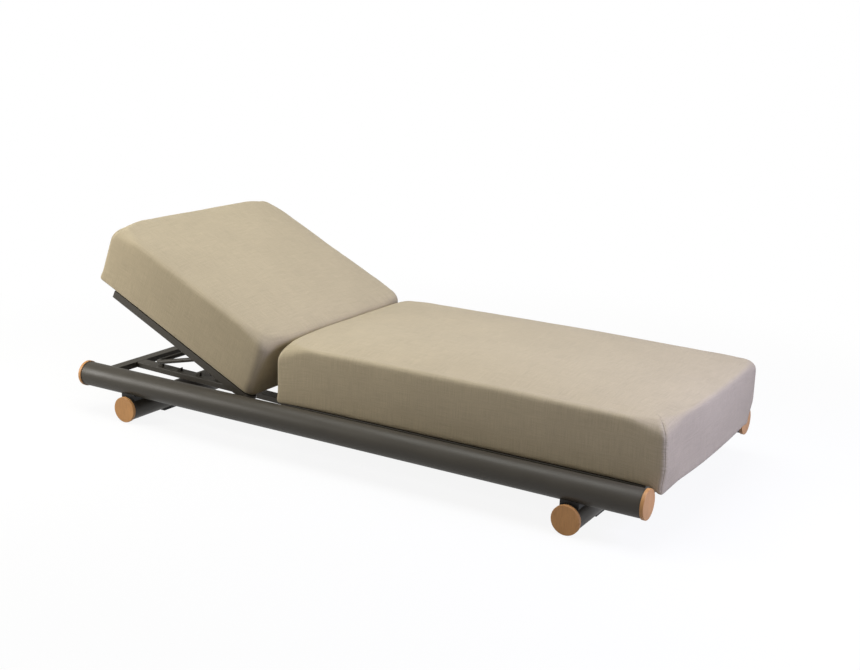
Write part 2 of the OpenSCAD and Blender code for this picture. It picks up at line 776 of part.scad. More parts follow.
hinge_bushes();
stay_lugs();
stay_pins();
stay_arm(-1);  // stay_arm_near
stay_arm(1);  // stay_arm_far
stay_rod();
back_cushion();
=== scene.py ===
"""Looks of a low relaxation lounger, built around its packed construction.

X runs from head to foot, Y across to the far side and Z up from the floor, in metres. Every new
piece is a surface worked out with numpy, and every finish is procedural.
"""
import json
import math
from itertools import product

import bpy
import numpy as np
from bpy.props import FloatProperty, FloatVectorProperty, IntProperty, PointerProperty
from mathutils import Matrix, Vector


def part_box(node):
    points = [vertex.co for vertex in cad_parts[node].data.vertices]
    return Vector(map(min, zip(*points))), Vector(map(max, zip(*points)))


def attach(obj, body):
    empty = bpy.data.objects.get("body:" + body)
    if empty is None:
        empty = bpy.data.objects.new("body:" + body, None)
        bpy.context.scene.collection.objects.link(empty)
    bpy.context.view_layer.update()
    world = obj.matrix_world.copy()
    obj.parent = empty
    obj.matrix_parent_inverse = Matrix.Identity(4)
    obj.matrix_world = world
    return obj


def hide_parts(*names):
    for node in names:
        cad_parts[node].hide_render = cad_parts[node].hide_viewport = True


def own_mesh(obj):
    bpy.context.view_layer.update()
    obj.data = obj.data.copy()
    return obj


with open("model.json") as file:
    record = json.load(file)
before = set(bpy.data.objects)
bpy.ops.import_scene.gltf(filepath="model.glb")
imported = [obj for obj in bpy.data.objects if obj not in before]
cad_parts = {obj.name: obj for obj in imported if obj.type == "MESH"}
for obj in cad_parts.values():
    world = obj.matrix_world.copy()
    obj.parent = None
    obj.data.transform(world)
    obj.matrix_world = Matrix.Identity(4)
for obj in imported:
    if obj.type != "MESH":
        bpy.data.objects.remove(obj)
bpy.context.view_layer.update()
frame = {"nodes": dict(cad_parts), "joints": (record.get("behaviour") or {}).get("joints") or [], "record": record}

bl_info = {
    "name": "Relaxation Lounger",
    "version": (1, 0, 0),
    "blender": (4, 5, 0),
    "location": "View3D > Sidebar > Lounger",
    "description": "Cushions, frame bars, stay, finishes and studio of a relaxation lounger",
    "category": "Object",
}

JOINTS = {joint["name"]: joint for joint in frame["joints"]}
HINGE = np.array(JOINTS["backrest_hinge"]["pos_m"], float)
PIVOT = np.array(JOINTS["stay_pivot"]["pos_m"], float)
LENGTHWAYS = np.array(JOINTS["back_cushion_slide"]["axis"], float)
REST_ANGLE = math.atan2(LENGTHWAYS[2], -LENGTHWAYS[0])

# Shapes of both cushions. A pair of distances from the side is where a change starts and ends.
CROWDING = 1.4                   # power that crowds a border's faces towards the cushion's side
MEETING_MIDDLE = (0.12, 0.03)
CORNER_REACH = 0.13              # how far from a corner its upper edge is blunted
HEAD_BLUNT = (0.9, 0.75)         # radius of the near and the far corner, as shares of the border
FOOT_BLUNT = (0.7, 0.5)
TOP_CORNER_GAIN = 0.6            # share of the border that the outline's corner gains on the flat
SEAM_END, SEAM_FADE = 0.8, 2     # where the corner seam fades out, in edge radii, and how fast
CREASE = (0.006, 0.0018)         # half width and depth of the corner crease
CREASE_START = 0.03
LOWER_SEAM = (0.004, 0.0012)
FLOOR_GRIP = (0.04, 0.6)         # height under which the puff is held back, least share kept

# Seat cushion.
SEAT_TRIM = (0.001, 0.0030, 0.0110)   # taken off its half length, its half width and its height
DROOP_FROM_END, DROOP_FROM_SIDE, DROOP_LEVEL = 0.055, (0.10, 0.01), 0.35
DROOP_PULL = (0.55, 0.3)         # shares of the droop that draw the corner in, along X and Y
HEM_EDGE, HEM_LEVEL = (0.0045, 0.0005), 0.3
TOP_RISE, FOOT_FALL, NEAR_FALL = 0.0025, 0.0075, 0.008
BOW_REACH, BOW_TRIM, NEAR_PULL = 0.25, 0.001, 0.012
NEAR_START = 0.1                 # distance from the middle where the near side starts to change

# Backrest cushion.
BACK_HALF = (0.711 / 2, 0.374)
BACK_ORIGIN = (0.0165, 0.0128)   # its lower end and its underside, along and off the frame
LIP_REACH, LIP_MIDDLE = 0.12, (0.14, 0.02)
NEAR_SAG, NEAR_SAG_REACH = 0.009, 0.1
FAR_SPREAD = 0.007

# Metal parts and studio.
CHAMFER = 0.4                    # of a bar's end, in edge radii
EYE = {"outer": 0.011, "inner": 0.00505, "half": 0.0075, "edge": 0.001}
RAIL_WELD_TRIM = 0.004           # left bare at both ends of a weld along a rail
BACK_BEAD = 0.8                  # of the deck's bead
FLOOR_SHADE, FLOOR_SHOWN = 0.32, 0.95     # for bounced light and for the camera
FLOOR_BARE, FLOOR_BARE_SHARE = (1.0, 2.6), (0.9, 1.0)
FLOOR_GLOSS, SKY_GLOSS = 0.8, 0.6         # how bright they look in reflections
SKY_TINT = (1.0, 0.92, 0.74)
CAMERA_PLACE = (2.02877, -3.30123, 1.35444)
LAMPS = (                        # name, place, target, size and colour; the power is in the studio
    ("top", (-0.2, -0.35, 2.6), (-0.2, 0, 0.25), (3.2, 1.4), (0.98, 1.0, 0.965)),
    ("foot", (2.5, -0.15, 1.3), (0.8, -0.1, 0.25), (1.2, 1.0), (0.57, 0.605, 1.0)),
    ("head", (-1.95, -1.35, 0.85), (-0.6, 0, 0.35), (0.7, 0.7), (1.0, 0.98, 0.94)),
    ("far", (-0.9, 3.0, 1.5), (-0.1, 0, 0.3), (2.0, 1.2), (1.0, 0.98, 0.95)),
)


def metres(name, description, default):
    """A property for a length in metres."""
    return FloatProperty(name=name, description=description, default=default, unit="LENGTH")


def tint(name, description, default):
    """A property for a colour."""
    return FloatVectorProperty(name=name, description=description, default=default, subtype="COLOR")


def watts(name, description, default):
    """A property for a lamp's power."""
    return FloatProperty(name=name, description=description, default=default, unit="POWER")


def degrees(name, description, default):
    """A property for an angle, given in degrees."""
    return FloatProperty(name=name, description=description, default=math.radians(default),
                         subtype="ANGLE")


class LoungerCushions(bpy.types.PropertyGroup):
    border: metres("Border", "Width of the rounded border of a cushion", 0.062)
    corner_round: metres("Corner round", "Radius of a cushion's upright corners", 0.011)
    soft_corner: metres(
        "Soft corner", "Radius of the backrest cushion's seamless lower corners", 0.034)
    seat_edge: metres("Seat edge", "Radius of the seat cushion's upper edges", 0.011)
    back_edge: metres("Backrest edge", "Radius of the backrest cushion's upper edges", 0.018)
    meeting_round: metres(
        "Meeting round", "Radius of the upper edges where the two cushions meet", 0.024)
    foot_round: metres("Lower round", "Radius of a cushion's lower edges", 0.005)
    side_swell: metres("Side swell", "How far a cushion's sides stand out at half height", 0.004)
    seat_crown: metres("Seat crown", "Rise of the seat cushion's middle over its edges", 0.0125)
    back_crown: metres(
        "Backrest crown", "Rise of the backrest cushion's middle over its edges", 0.012)
    back_thickness: metres(
        "Backrest thickness", "Thickness of the backrest cushion at its edges", 0.2205)
    back_spread: metres(
        "Backrest spread", "How much wider the backrest cushion is at its top", 0.020)
    foot_bow: metres(
        "Foot bow", "How far the middle of the seat cushion's foot end stands out", 0.012)
    hem: metres("Hem", "How far the seat cushion's sides hang down beside the seat rails", 0.016)
    droop: metres("Foot droop", "How far the seat cushion's free lower corners hang down", 0.023)
    back_lip: metres("Backrest lip", "How far the backrest cushion bulges over the seat", 0.016)
    spacing: metres(
        "Mesh spacing", "Size of a cushion's mesh faces off its edges, before subdivision", 0.014)
    border_faces: IntProperty(
        name="Border faces", description="Mesh faces across a cushion's border", default=7)
    puff: metres("Puff", "The most that the stuffing may push the cover out", 0.007)
    slack: metres("Slack", "How much smaller each side starts before it is stuffed", 0.003)
    pressure: FloatProperty(
        name="Pressure", description="Pressure of the stuffing in the simulation", default=4.0)
    frames: IntProperty(
        name="Frames", description="Length of the cloth simulation in frames", default=20)


class LoungerFinishes(bpy.types.PropertyGroup):
    cloth: tint("Cloth", "Colour of the woven cover", (0.535, 0.452, 0.311))
    # Painted shade: the darker colour that the gaps between the threads are given.
    cloth_gap_shade: tint("Cloth shade", "Colour between the threads", (0.40, 0.33, 0.217))
    thread: metres("Thread", "Distance from one thread to the next", 0.0013)
    coat: tint("Powder coat", "Colour of the coated metal", (0.056, 0.049, 0.038))
    wood: tint("Wood", "Colour of the end discs", (0.60, 0.305, 0.111))
    wood_grain: tint(
        "Wood grain", "Colour of the dark grain in the end discs",
        (0.46, 0.215, 0.07))
    plastic: tint("Plastic", "Colour of plugs, pads and glides", (0.018, 0.018, 0.019))
    steel: tint("Steel", "Colour of the fasteners", (0.55, 0.55, 0.56))


class LoungerFrame(bpy.types.PropertyGroup):
    bend_radius: metres("Bend radius", "Radius of the stay tube's bends", 0.032)
    bar_round: metres("Bar round", "Radius of the long edges of the rectangular tubes", 0.0028)
    slat_round: metres("Slat round", "Radius of the long edges of the flat slats", 0.0018)
    bead: metres("Weld bead", "Radius of the weld beads", 0.0022)


class LoungerStudio(bpy.types.PropertyGroup):
    floor_size: metres("Floor size", "Side of the floor", 40.0)
    top_light: watts("Top light", "Power of the large soft lamp overhead", 52.0)
    foot_light: watts("Foot light", "Power of the cool soft lamp beyond the foot end", 41.5)
    head_light: watts("Head light", "Power of the soft lamp beside the head end", 20.0)
    far_light: watts("Far light", "Power of the soft lamp beyond the far side", 12.0)
    sky: FloatProperty(
        name="Surround", description="Strength of the pale surround", default=0.18)
    lens: FloatProperty(
        name="Lens", description="Focal length in millimetres, on a 36 mm sensor", default=52.29)
    azimuth: degrees("Azimuth", "Turn of the camera round the lounger", 30.665)
    elevation: degrees("Elevation", "Height angle of the camera", 14.759)
    roll: degrees("Roll", "Roll of the camera", 1.677)


# ---- Meshes


def mesh_object(name, points, faces, body, smooth=True):
    """Makes an object from an array of points and an array of faces, riding on a body."""
    mesh = bpy.data.meshes.new(name)
    mesh.from_pydata(np.asarray(points, float).tolist(), [], [list(face) for face in faces])
    mesh.polygons.foreach_set("use_smooth", np.full(len(mesh.polygons), smooth))
    mesh.validate()
    mesh.update()
    piece = bpy.data.objects.new(name, mesh)
    bpy.context.scene.collection.objects.link(piece)
    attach(piece, body)
    return piece


def box_lattice(counts):
    """Whole-number places of the points on a box's surface, each once, and its outward quads.

    On each of the six sides a cell (j, k) has the corners (j, k), (j+1, k), (j+1, k+1), (j, k+1),
    turned round on the sides that face backwards.
    """
    quads = []
    for axis, at_end in product(range(3), (False, True)):
        b, c = (axis + 1) % 3, (axis + 2) % 3
        j, k = np.meshgrid(np.arange(counts[b]), np.arange(counts[c]), indexing="ij")
        j, k = j.ravel(), k.ravel()
        quad = np.zeros((len(j), 4, 3), int)
        quad[:, :, axis] = counts[axis] if at_end else 0
        quad[:, :, b] = np.stack([j, j + 1, j + 1, j], 1)
        quad[:, :, c] = np.stack([k, k, k + 1, k + 1], 1)
        quads.append(quad if at_end else quad[:, ::-1])
    flat = np.concatenate(quads).reshape(-1, 3)
    places, index = np.unique(flat, axis=0, return_inverse=True)
    return places, index.reshape(-1, 4)


def smooth_step(value, start, end):
    """0 before start, 1 after end, and 3t^2 - 2t^3 between them."""
    share = np.clip((value - start) / (end - start), 0, 1)
    return share * share * (3 - 2 * share)


def edge_section(share, reach, radius):
    """A cushion edge seen in section, at a share of its length: a flat run of reach - radius and a
    quarter circle of the given radius. Gives the inset from the side, the drop from the flat and
    the distance run."""
    flat = reach - radius
    run = share * (flat + radius * math.pi / 2)
    angle = np.clip((run - flat) / radius, 0, math.pi / 2)
    inset = reach - np.minimum(run, flat) - radius * np.sin(angle)
    return inset, radius * (1 - np.cos(angle)), run


def border_corner(turn, reach, radius):
    """The outline of one cushion corner seen from above, within a square border of width reach.

    A ray leaves the border's inner corner at angle turn from the long side's normal. It meets
    either one of the two straight sides, at reach / cos or reach / sin of its angle, or the
    corner's circle, whose centre lies reach - radius out along both sides, at m + sqrt(m^2 - 2c^2 +
    radius^2), with c = reach - radius and m = c (cos + sin). Gives the distance to the outline, and
    how far along the outline the ray meets it, from one side's normal and from the corner.
    """
    c = reach - radius
    cos, sin = np.cos(turn), np.sin(turn)
    middle = c * (cos + sin)
    on_circle = middle + np.sqrt(np.maximum(middle ** 2 - 2 * c * c + radius ** 2, 0))
    straight = reach / np.maximum(np.maximum(cos, sin), 1e-9)
    meets_side = np.minimum(cos, sin) * straight <= c
    distance = np.where(meets_side, straight, on_circle)
    first = reach * np.tan(np.minimum(turn, math.pi / 4))
    last = 2 * c + radius * math.pi / 2
    last = last - reach * np.tan(math.pi / 2 - np.maximum(turn, math.pi / 4))
    bent = c + radius * np.arctan2(distance * sin - c, distance * cos - c)
    run = np.where(meets_side, np.where(turn < math.pi / 4, first, last), bent)
    return distance, run, c + radius * math.pi / 4


def cushion_surface(half_x, half_y, height, crown, edge_round, corners, sizes, meeting_end):
    """A rounded cushion, centred on the origin with its underside on z = 0.

    The points of a box lattice, closer together in the border, are split into the nearest point of
    the box inside the border and an offset. The offset's direction seen from above, n, and its
    slope, which runs from 0 on the flat to 1 on the side, give the place: the inner point plus n
    times the border left over by the inset and stretched to the corner's outline, lowered by the
    drop of the edge section. The top then rises by crown * (1 - |x/half_x|^3) * (1 - |y/half_y|^3),
    and each side stands out by swell * 4h(1 - h) * (1 - along^2), h being the share of the height.
    corners gives the outline's corner radius at the head and at the foot. The upper edge has the
    radius edge_round, or meeting_round in the middle of meeting_end, -1 or 1 along X, and near each
    corner it is blunted to a share of the border that differs from corner to corner.

    Gives the points, the quads, the cover's two flat patterns in metres (one for top and long
    sides, one for the ends), the outward direction seen from above, and per point the distance from
    the corner seam, the height over the lower seam, and the height.
    """
    reach, low = sizes.border, sizes.foot_round
    straight = height - edge_round - low
    box = np.array([2 * half_x, 2 * half_y, straight + 2 * reach])
    inner = np.maximum(np.round((box - 2 * reach) / sizes.spacing).astype(int), 3)
    edge = reach * np.linspace(0, 1, sizes.border_faces + 1) ** CROWDING
    ticks = [np.concatenate([edge[:-1], np.linspace(reach, size - reach, count + 1),
                             size - edge[-2::-1]]) for size, count in zip(box, inner)]
    places, quads = box_lattice([len(tick) - 1 for tick in ticks])
    p = np.column_stack([tick[places[:, axis]] for axis, tick in enumerate(ticks)])
    p = p - [half_x, half_y, 0]
    q = np.clip(p, [reach - half_x, reach - half_y, reach],
                [half_x - reach, half_y - reach, box[2] - reach])
    d = p - q
    plan = np.linalg.norm(d[:, :2], axis=1)
    n = np.divide(d[:, :2], plan[:, None], out=np.zeros((len(d), 2)), where=plan[:, None] > 0)
    slope = np.arctan2(np.abs(d[:, :2]).max(1), np.abs(d[:, 2])) / (math.pi / 2)
    on_flat = plan < 1e-9
    above, below = d[:, 2] > 1e-9, d[:, 2] < -1e-9
    side = ~(above | below)

    at_meeting = smooth_step(n[:, 0] * meeting_end, 0.8, 1.0)
    middle = 1 - smooth_step(np.abs(p[:, 1]), *(half_y - np.array(MEETING_MIDDLE)))
    upper = edge_round + (sizes.meeting_round - edge_round) * at_meeting * middle
    corner = 1 - smooth_step(half_x - np.abs(p[:, 0]), 0.0, CORNER_REACH)
    corner = corner * (1 - smooth_step(half_y - np.abs(p[:, 1]), 0.0, CORNER_REACH))
    at_near = p[:, 1] < 0
    blunt = np.where(p[:, 0] < 0, np.where(at_near, *HEAD_BLUNT), np.where(at_near, *FOOT_BLUNT))
    upper = upper + (blunt * reach - upper) * corner
    corner_radius = np.where(p[:, 0] < 0, corners[0], corners[1])
    radius = np.where(below, low, upper)
    inset, drop, run = edge_section(slope, reach, radius)
    left = reach - inset
    z = np.where(above, height - drop, drop)
    z[side] = low + (p[side, 2] - reach) / (box[2] - 2 * reach) * (height - upper[side] - low)

    turn = np.arctan2(np.abs(n[:, 0]), np.maximum(np.abs(n[:, 1]), 1e-12))
    gain = TOP_CORNER_GAIN * (reach - corner_radius) * (1 - slope)
    tight = np.where(above, corner_radius + gain, corner_radius)
    outline, along, half_way = border_corner(turn, reach, tight)
    stretch = np.where(on_flat, 1, outline / reach)
    xy = q[:, :2] + n * (left * stretch)[:, None]

    level = z / height
    hump = crown * (1 - np.abs(xy[:, 0] / half_x) ** 3) * (1 - np.abs(xy[:, 1] / half_y) ** 3)
    place = np.where(np.abs(n[:, 0]) > np.abs(n[:, 1]), xy[:, 1] / half_y, xy[:, 0] / half_x)
    swell = sizes.side_swell * 4 * level * (1 - level) * np.clip(1 - place ** 2, 0, 1)
    xy = xy + n * swell[:, None]
    points = np.column_stack([xy, z + hump * level ** 2])

    over_edge = reach - upper + upper * math.pi / 2
    down = np.where(above, run, np.where(side, over_edge + height - upper - z,
                                         over_edge + height - upper - low + low * math.pi / 2 - run
                                         + reach - low))
    shrink = left / reach
    sign = np.where(p[:, :2] < 0, -1.0, 1.0)
    inside = np.abs(q[:, :2])
    in_corner = (inside[:, 0] > half_x - reach - 1e-9) & (inside[:, 1] > half_y - reach - 1e-9)
    by_side = sign * np.column_stack([
        inside[:, 0] + along * shrink * in_corner, inside[:, 1] + down])
    by_end = sign * np.column_stack([
        inside[:, 0] + down, inside[:, 1] + (2 * half_way - along) * shrink * in_corner])
    by_side[on_flat], by_end[on_flat] = xy[on_flat], xy[on_flat]

    across = np.where(in_corner, (half_way - along) * shrink, 1.0)
    on_long = ~in_corner & (inside[:, 1] > half_y - reach - 1e-9)
    on_short = ~in_corner & (inside[:, 0] > half_x - reach - 1e-9)
    across = np.where(on_long, half_way + half_x - reach - inside[:, 0], across)
    across = np.where(on_short, -(half_way + half_y - reach - inside[:, 1]), across)
    fade = SEAM_FADE * np.maximum(z - (height - SEAM_END * edge_round), 0)
    across = np.where(on_flat, 1.0, across + np.where(across < 0, -fade, fade))
    lower = np.where(below, low * (math.pi / 4) - (down - (over_edge + height - upper - low)),
                     low * (math.pi / 4) + z - low)
    seams = np.column_stack([across, lower, z])
    return points, quads, by_side, by_end, n, seams


def cloth_puff(points, quads, sizes):
    """How the stuffing moves a closed cover: a cloth simulation under pressure, without gravity.

    The cover starts smaller than the cushion by the slack. Each point's way from its start is kept
    to at most the puff, along the line that it took, held back near the underside, and carried over
    to the cushion's own size.
    """
    centre = points.mean(0)
    start = centre + (points - centre) * (1 - sizes.slack / np.abs(points - centre).max(0))
    mesh = bpy.data.meshes.new("cover_sim")
    mesh.from_pydata(start.tolist(), [], quads.tolist())
    cover = bpy.data.objects.new("cover_sim", mesh)
    scene = bpy.context.scene
    scene.collection.objects.link(cover)
    cloth = cover.modifiers.new("Cloth", "CLOTH")
    settings = cloth.settings
    settings.quality = 5
    settings.mass = 0.15
    settings.tension_stiffness = settings.compression_stiffness = 12
    settings.shear_stiffness = 6
    settings.bending_stiffness = 1.5
    settings.use_pressure = True
    settings.uniform_pressure_force = sizes.pressure
    settings.effector_weights.gravity = 0
    cloth.point_cache.frame_start = 1
    cloth.point_cache.frame_end = sizes.frames
    for number in range(1, sizes.frames + 1):
        scene.frame_set(number)
    solved = cover.evaluated_get(bpy.context.evaluated_depsgraph_get()).data
    after = np.empty(len(solved.vertices) * 3)
    solved.vertices.foreach_get("co", after)
    moved = after.reshape(-1, 3) - start
    scene.frame_set(1)
    bpy.data.objects.remove(cover)
    bpy.data.meshes.remove(mesh)
    length = np.linalg.norm(moved, axis=1, keepdims=True)
    moved = moved * np.minimum(1, sizes.puff / np.maximum(length, 1e-9))
    grip_height, least = FLOOR_GRIP
    raised = smooth_step(points[:, 2:3], 0.0, grip_height)
    sideways = least + (1 - least) * raised
    return moved * np.hstack([sideways, sideways, raised])


def cushion_object(name, surface, puff, place, body, node, lip=None):
    """Puts a cushion surface in place and gives it its pattern, its seam distances and its cloth.

    A seam draws the cover in by depth * e^(-(distance / width)^2).
    """
    points, quads, by_side, by_end, n, seams = surface
    shaped = points + puff
    crease = np.exp(-(seams[:, 0] / CREASE[0]) ** 2) * smooth_step(seams[:, 2], 0.0, CREASE_START)
    shaped[:, :2] -= n * (CREASE[1] * crease)[:, None]
    groove = np.exp(-(seams[:, 1] / LOWER_SEAM[0]) ** 2)
    shaped[:, :2] -= n * (LOWER_SEAM[1] * groove)[:, None]
    if lip is not None:
        shaped = lip(shaped)
    world = place(shaped)
    piece = mesh_object(name, world, quads, body)
    corner = quads.ravel()
    on_end = np.abs(n[quads, 0]).mean(1) > np.abs(n[quads, 1]).mean(1)
    pattern = np.where(np.repeat(on_end, 4)[:, None], by_end[corner], by_side[corner])
    under = np.repeat(seams[quads, 1].mean(1) < 0, 4)
    pattern = np.where(under[:, None], points[corner, :2], pattern)
    layer = piece.data.uv_layers.new(name="pattern")
    layer.data.foreach_set("uv", pattern.astype(np.float32).ravel())
    attribute = piece.data.attributes.new("seam", "FLOAT_VECTOR", "POINT")
    attribute.data.foreach_set("vector", seams.astype(np.float32).ravel())
    refine = piece.modifiers.new("Subdivision", "SUBSURF")
    refine.levels = refine.render_levels = 1
    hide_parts(node)
    piece.data.materials.append(cloth_material())
    return piece


def tube_along(path, radius, sides, closed):
    """A round tube carried along a path: a circle across the path at each of its points, turned as
    little as possible from one to the next. radius may differ from point to point."""
    path = np.asarray(path, float)
    ahead = np.roll(path, -1, 0) - np.roll(path, 1, 0)
    if not closed:
        ahead[0], ahead[-1] = path[1] - path[0], path[-1] - path[-2]
    ahead /= np.linalg.norm(ahead, axis=1, keepdims=True)
    first = np.cross(ahead[0], [0.0, 0.0, 1.0] if abs(ahead[0][2]) < 0.9 else [1.0, 0.0, 0.0])
    ups = [first / np.linalg.norm(first)]
    for direction in ahead[1:]:
        up = ups[-1] - direction * (ups[-1] @ direction)
        ups.append(up / np.linalg.norm(up))
    ups = np.array(ups)
    rights = np.cross(ahead, ups)
    angle = np.arange(sides) * 2 * math.pi / sides
    radius = np.broadcast_to(np.asarray(radius, float), len(path))
    ring = (np.cos(angle)[None, :, None] * ups[:, None]
            + np.sin(angle)[None, :, None] * rights[:, None])
    points = path[:, None] + ring * radius[:, None, None]
    count = len(path)
    i, j = np.meshgrid(np.arange(count if closed else count - 1), np.arange(sides), indexing="ij")
    i, j = i.ravel(), j.ravel()
    k, m = (i + 1) % count, (j + 1) % sides
    faces = np.stack([i * sides + j, i * sides + m, k * sides + m, k * sides + j], 1).tolist()
    if not closed:
        faces += [list(range(sides))[::-1], list(range((count - 1) * sides, count * sides))]
    return points.reshape(-1, 3), faces


def join(parts):
    """Joins several (points, faces) into one."""
    points, faces, start = [], [], 0
    for p, f in parts:
        points.append(np.asarray(p, float))
        faces += [[start + v for v in face] for face in f]
        start += len(p)
    return np.concatenate(points), faces


def metal_object(name, parts, body, replaced=(), smooth=False, place=None):
    """Joins parts into one piece of coated metal that may stand for CAD nodes."""
    points, faces = join(parts)
    points = points if place is None else place(points)
    piece = mesh_object(name, points, faces, body, smooth)
    piece.data.materials.append(coat_material())
    if replaced:
        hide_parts(*replaced)
    return piece


def node_limits(name, view=lambda points: points):
    """The lowest and highest corners of a CAD node, in the frame that view turns it into."""
    mesh = frame["nodes"][name].data
    points = np.empty(len(mesh.vertices) * 3)
    mesh.vertices.foreach_get("co", points)
    points = view(points.reshape(-1, 3))
    return points.min(0), points.max(0)


def rounded_outline(half_b, half_c, radius, inset=0.0, steps=4):
    """A rectangle with quarter circles for corners, (half - radius) +- (radius - inset) times the
    cosine and sine of the turn, drawn anticlockwise."""
    angle = np.linspace(0, math.pi / 2, steps + 1)
    turned = (angle + np.arange(4)[:, None] * math.pi / 2).ravel()
    sign_b = np.repeat([1, -1, -1, 1], steps + 1)
    sign_c = np.repeat([1, 1, -1, -1], steps + 1)
    return np.column_stack([sign_b * (half_b - radius) + (radius - inset) * np.cos(turned),
                            sign_c * (half_c - radius) + (radius - inset) * np.sin(turned)])


def rounded_bar(low, high, axis, radius, slope=0.0):
    """A bar along one axis: a rounded outline carried from end to end, with a small chamfer at both
    ends, and its height raised by slope times the way along it from the middle."""
    b, c = (axis + 1) % 3, (axis + 2) % 3
    middle, half = (low + high) / 2, (high - low) / 2
    cut = CHAMFER * radius
    rings = []
    for along, inset in ((-half[axis], cut), (cut - half[axis], 0), (half[axis] - cut, 0),
                         (half[axis], cut)):
        outline = rounded_outline(half[b], half[c], radius, inset)
        ring = np.empty((len(outline), 3))
        ring[:, axis], ring[:, b], ring[:, c] = along, outline[:, 0], outline[:, 1]
        rings.append(ring)
    count = len(rings[0])
    i, j = np.meshgrid(np.arange(3), np.arange(count), indexing="ij")
    i, j = i.ravel() * count, j.ravel()
    k = (j + 1) % count
    faces = np.stack([i + j, i + k, i + count + k, i + count + j], 1).tolist()
    faces += [list(range(count))[::-1], list(range(3 * count, 4 * count))]
    points = np.concatenate(rings)
    points[:, 2] += slope * points[:, axis]
    return points + middle, faces


def end_bead(low, high, radius, bead, wall, all_round=True):
    """A weld bead round a bar that runs along Y, where it meets a wall: the bar's rounded outline,
    or the upper edge of it alone, with its Y taken from the wall's, as a function of the height."""
    middle, half = (low + high) / 2, (high - low) / 2
    outline = rounded_outline(half[0], half[2], radius, steps=2)
    if not all_round:
        outline = outline[:len(outline) // 2]
    x, z = middle[0] + outline[:, 0], middle[2] + outline[:, 1]
    return tube_along(np.column_stack([x, wall(z), z]), bead, 8, all_round)


def ring_about_y(centre, outer, inner, half, edge, sides=48):
    """An eye: a closed profile of width 2*half between two radii, its edges cut by a small flat,
    turned round an axis along Y."""
    profile = np.array([
        [inner, -half], [outer - edge, -half], [outer, -half + edge], [outer, half - edge],
        [outer - edge, half], [inner, half]])
    angle = np.arange(sides) * 2 * math.pi / sides
    r, y = profile[:, 0], profile[:, 1]
    points = np.stack([
        centre[0] + np.cos(angle)[:, None] * r, centre[1] + np.broadcast_to(y, (sides, len(y))),
        centre[2] + np.sin(angle)[:, None] * r], -1).reshape(-1, 3)
    count = len(profile)
    i, j = np.meshgrid(np.arange(sides), np.arange(count), indexing="ij")
    i, j = i.ravel(), j.ravel()
    k, m = (i + 1) % sides, (j + 1) % count
    quads = np.stack([i * count + j, i * count + m, k * count + m, k * count + j], 1)
    return points, quads.tolist()


# ---- Node groups and materials


def node_group(name, inputs, outputs):
    """A new shader node group with named sockets, given as (name, type, default)."""
    group = bpy.data.node_groups.new(name, "ShaderNodeTree")
    for label, kind, value in inputs:
        socket = group.interface.new_socket(label, in_out="INPUT", socket_type=kind)
        if value is not None:
            socket.default_value = value
    for label, kind in outputs:
        group.interface.new_socket(label, in_out="OUTPUT", socket_type=kind)
    return group, group.nodes.new("NodeGroupInput"), group.nodes.new("NodeGroupOutput")


class Wiring:
    """Short ways to add nodes to a tree and to join them."""

    def __init__(self, tree):
        self.tree = tree

    def add(self, kind, values=(), **settings):
        node = self.tree.nodes.new(kind)
        for key, value in settings.items():
            setattr(node, key, value)
        for key, value in dict(values).items():
            self.put(value, node.inputs[key])
        return node

    def put(self, value, socket):
        if isinstance(value, bpy.types.NodeSocket):
            self.tree.links.new(value, socket)
        else:
            socket.default_value = value

    def math(self, operation, a, b=0.0, c=0.0, clamp=False):
        node = self.add("ShaderNodeMath", {0: a, 1: b, 2: c}, operation=operation, use_clamp=clamp)
        return node.outputs[0]

    def mix(self, share, a, b):
        node = self.add("ShaderNodeMix", data_type="RGBA")
        for value, socket in ((share, node.inputs[0]), (a, node.inputs[6]), (b, node.inputs[7])):
            self.put(value, socket)
        return node.outputs[2]

    def spread(self, value, low, high, to_low=0.0, to_high=1.0):
        node = self.add("ShaderNodeMapRange", {0: value, 1: low, 2: high, 3: to_low, 4: to_high})
        node.interpolation_type = "SMOOTHSTEP"
        return node.outputs[0]

    def noise(self, vector, scale, detail=2.0, roughness=0.5):
        node = self.add("ShaderNodeTexNoise", {
            "Vector": vector, "Scale": scale, "Detail": detail, "Roughness": roughness})
        return node.outputs[0]

    def shaded(self, colour, shade):
        node = self.add("ShaderNodeVectorMath", {0: colour, "Scale": shade}, operation="SCALE")
        return node.outputs[0]

    def scaled(self, vector, amounts):
        node = self.add("ShaderNodeVectorMath", {0: vector, 1: amounts}, operation="MULTIPLY")
        return node.outputs[0]


def rgba(colour):
    """A colour with full opacity."""
    return (*colour, 1.0)


